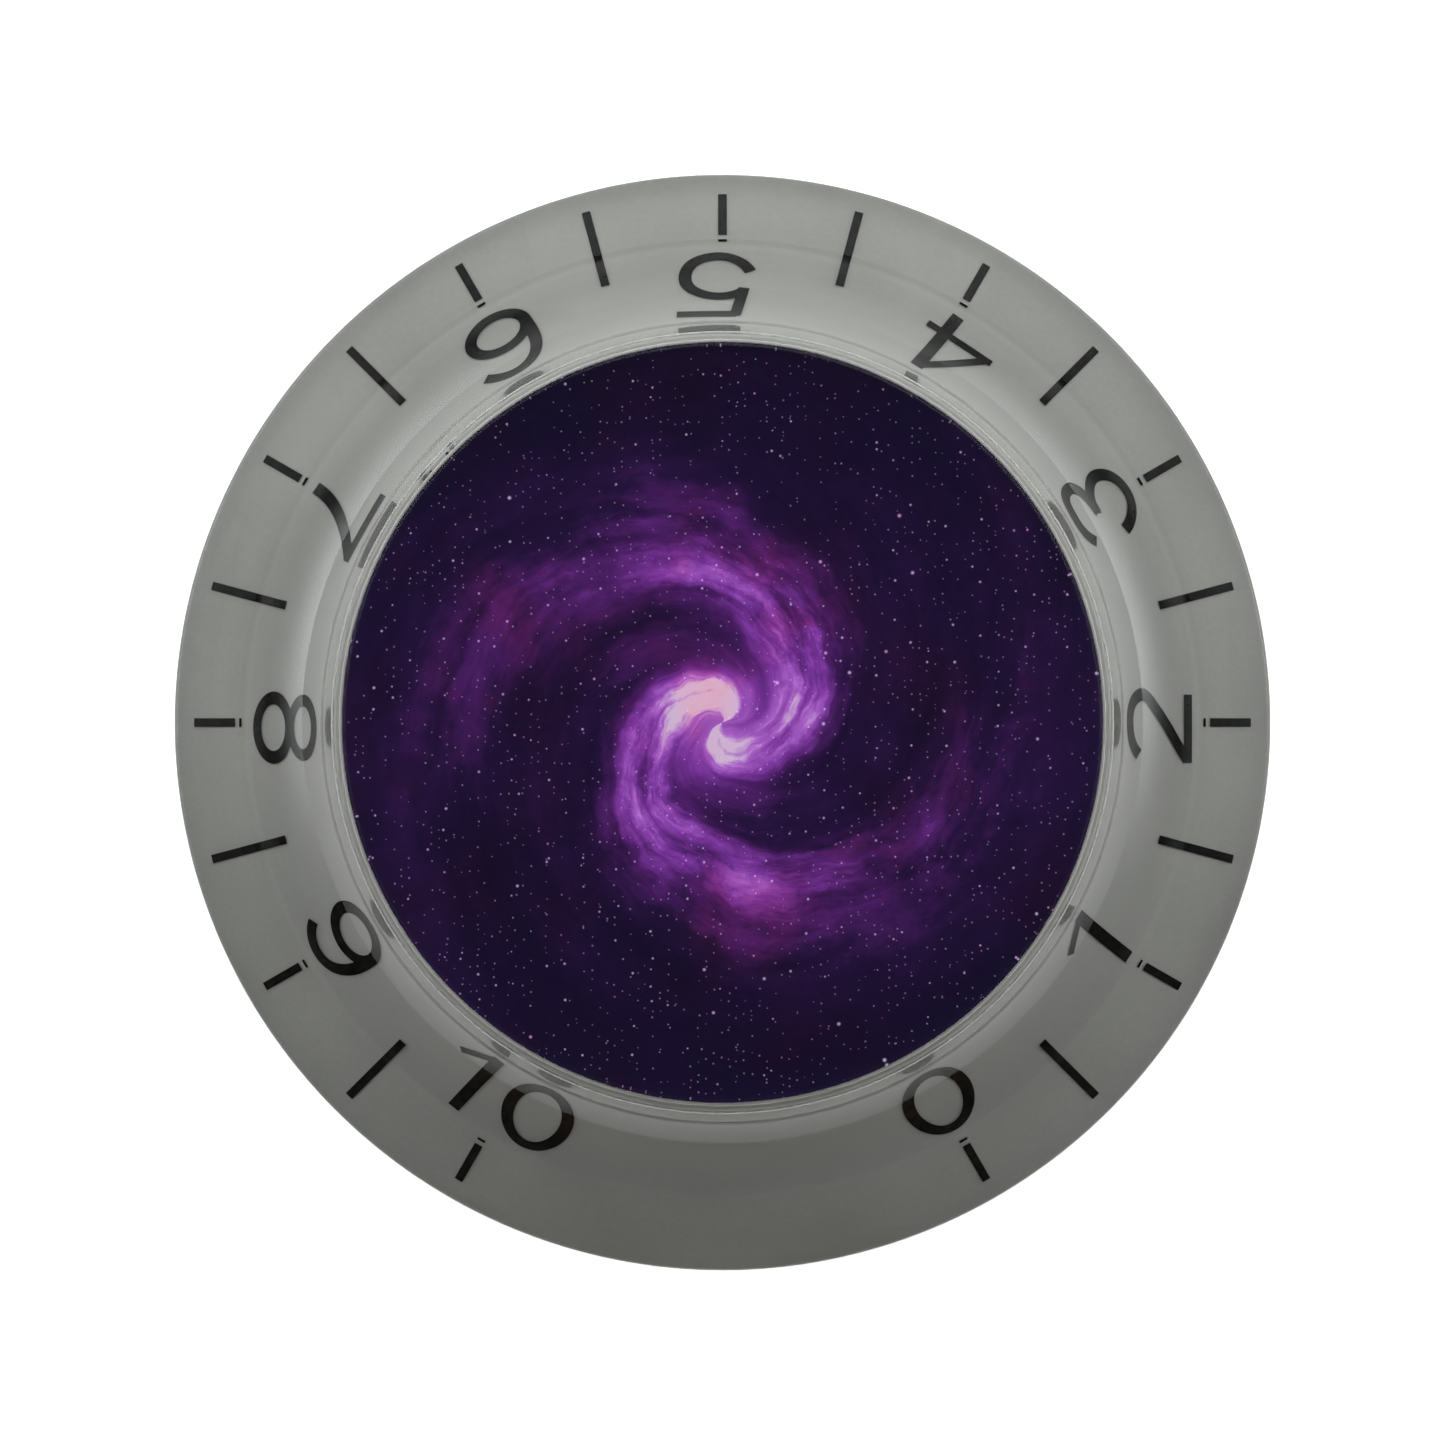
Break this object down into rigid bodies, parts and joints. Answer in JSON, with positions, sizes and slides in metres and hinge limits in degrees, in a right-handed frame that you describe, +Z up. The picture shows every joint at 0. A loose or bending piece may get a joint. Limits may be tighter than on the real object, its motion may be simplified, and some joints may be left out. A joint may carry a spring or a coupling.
{
  "type": "control knob",
  "caption": "Bell-shaped control knob for a round shaft: clear flared skirt with a printed number scale, picture top under a clear cap, brass insert and grub screw.",
  "frame": {"origin": "centre of the base plane of the rim, on the turning axis", "axes": "+Z up along the turning axis, away from the panel; +Y towards the numeral 5; +X towards the numeral 2"},
  "size_m": [0.0256, 0.0256, 0.0137],
  "materials": {
    "clear_shell": "clear, polished",
    "coat": "silver-grey film",
    "ink": "black printing ink",
    "adhesive": "white adhesive film",
    "picture": "printed galaxy picture",
    "clear_cap": "clear, polished",
    "insert": "turned and knurled",
    "screw": "black oxide"
  },
  "bodies": {
    "knob": {"bell_shell": "clear_shell", "backing_coat": "coat", "numeral_0": "ink", "numeral_1": "ink", "numeral_2": "ink", "numeral_3": "ink", "numeral_4": "ink", "numeral_5": "ink", "numeral_6": "ink", "numeral_7": "ink", "numeral_8": "ink", "numeral_9": "ink", "numeral_10": "ink", "number_ticks": "ink", "half_ticks": "ink", "adhesive_disc": "adhesive", "picture_disc": "picture", "dome_cap": "clear_cap", "shaft_insert": "insert"},
    "screw": {"grub_screw": "screw"}
  },
  "joints": [
    {"name": "grub_screw_travel", "type": "slide", "parent": "knob", "child": "screw", "axis": [0.7373, -0.6756, 0], "range_m": [0, 0.00165]}
  ]
}
